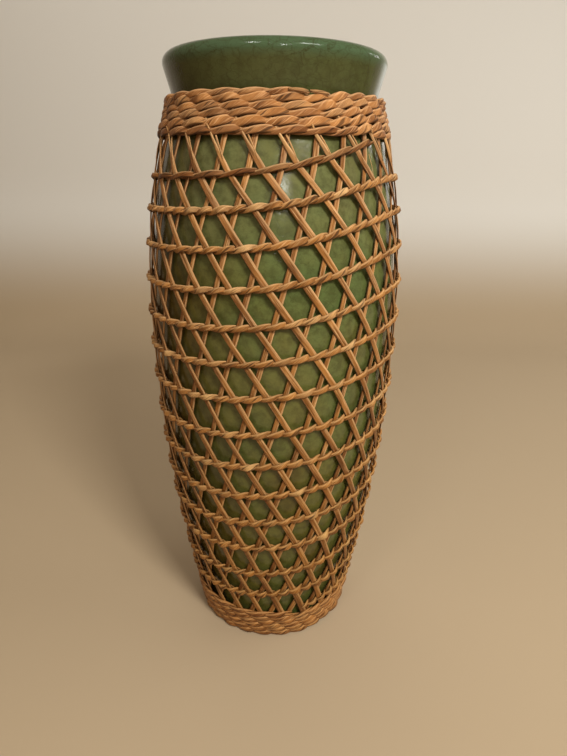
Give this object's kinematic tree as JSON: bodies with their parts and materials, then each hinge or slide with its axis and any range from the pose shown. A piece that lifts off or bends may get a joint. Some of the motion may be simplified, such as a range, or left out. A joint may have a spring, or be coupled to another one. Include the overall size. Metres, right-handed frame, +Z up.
{
  "type": "cane-jacketed vase",
  "caption": "Tall stoneware vase with a flared rim, in an open jacket of split cane woven on the vase, with a close collar and foot band.",
  "frame": {"origin": "centre of the foot ring, on the surface the vase stands on", "axes": "+Z up along the vase's axis; -Y towards the camera of the picture, +X to its right"},
  "size_m": [0.1331, 0.1328, 0.306],
  "materials": {
    "glazed_stoneware": "glossy crackled glaze",
    "split_cane": "satin split bamboo",
    "weft_cane": "satin twisted bamboo strand"
  },
  "bodies": {
    "root": {"vase": "glazed_stoneware", "outer_splint_01": "split_cane", "outer_splint_02": "split_cane", "outer_splint_03": "split_cane", "outer_splint_04": "split_cane", "outer_splint_05": "split_cane", "outer_splint_06": "split_cane", "outer_splint_07": "split_cane", "outer_splint_08": "split_cane", "outer_splint_09": "split_cane", "outer_splint_10": "split_cane", "outer_splint_11": "split_cane", "outer_splint_12": "split_cane", "outer_splint_13": "split_cane", "outer_splint_14": "split_cane", "outer_splint_15": "split_cane", "outer_splint_16": "split_cane", "outer_splint_17": "split_cane", "outer_splint_18": "split_cane", "outer_splint_19": "split_cane", "outer_splint_20": "split_cane", "outer_splint_21": "split_cane", "outer_splint_22": "split_cane", "outer_splint_23": "split_cane", "outer_splint_24": "split_cane", "outer_splint_25": "split_cane", "inner_splint_01": "split_cane", "inner_splint_02": "split_cane", "inner_splint_03": "split_cane", "inner_splint_04": "split_cane", "inner_splint_05": "split_cane", "inner_splint_06": "split_cane", "inner_splint_07": "split_cane", "inner_splint_08": "split_cane", "inner_splint_09": "split_cane", "inner_splint_10": "split_cane", "inner_splint_11": "split_cane", "inner_splint_12": "split_cane", "inner_splint_13": "split_cane", "inner_splint_14": "split_cane", "inner_splint_15": "split_cane", "inner_splint_16": "split_cane", "inner_splint_17": "split_cane", "inner_splint_18": "split_cane", "inner_splint_19": "split_cane", "inner_splint_20": "split_cane", "inner_splint_21": "split_cane", "inner_splint_22": "split_cane", "inner_splint_23": "split_cane", "inner_splint_24": "split_cane", "inner_splint_25": "split_cane", "inner_splint_26": "split_cane", "weft_front_strand": "weft_cane", "weft_back_strand": "weft_cane", "collar_strand": "weft_cane", "base_band_strand": "weft_cane"}
  },
  "joints": []
}
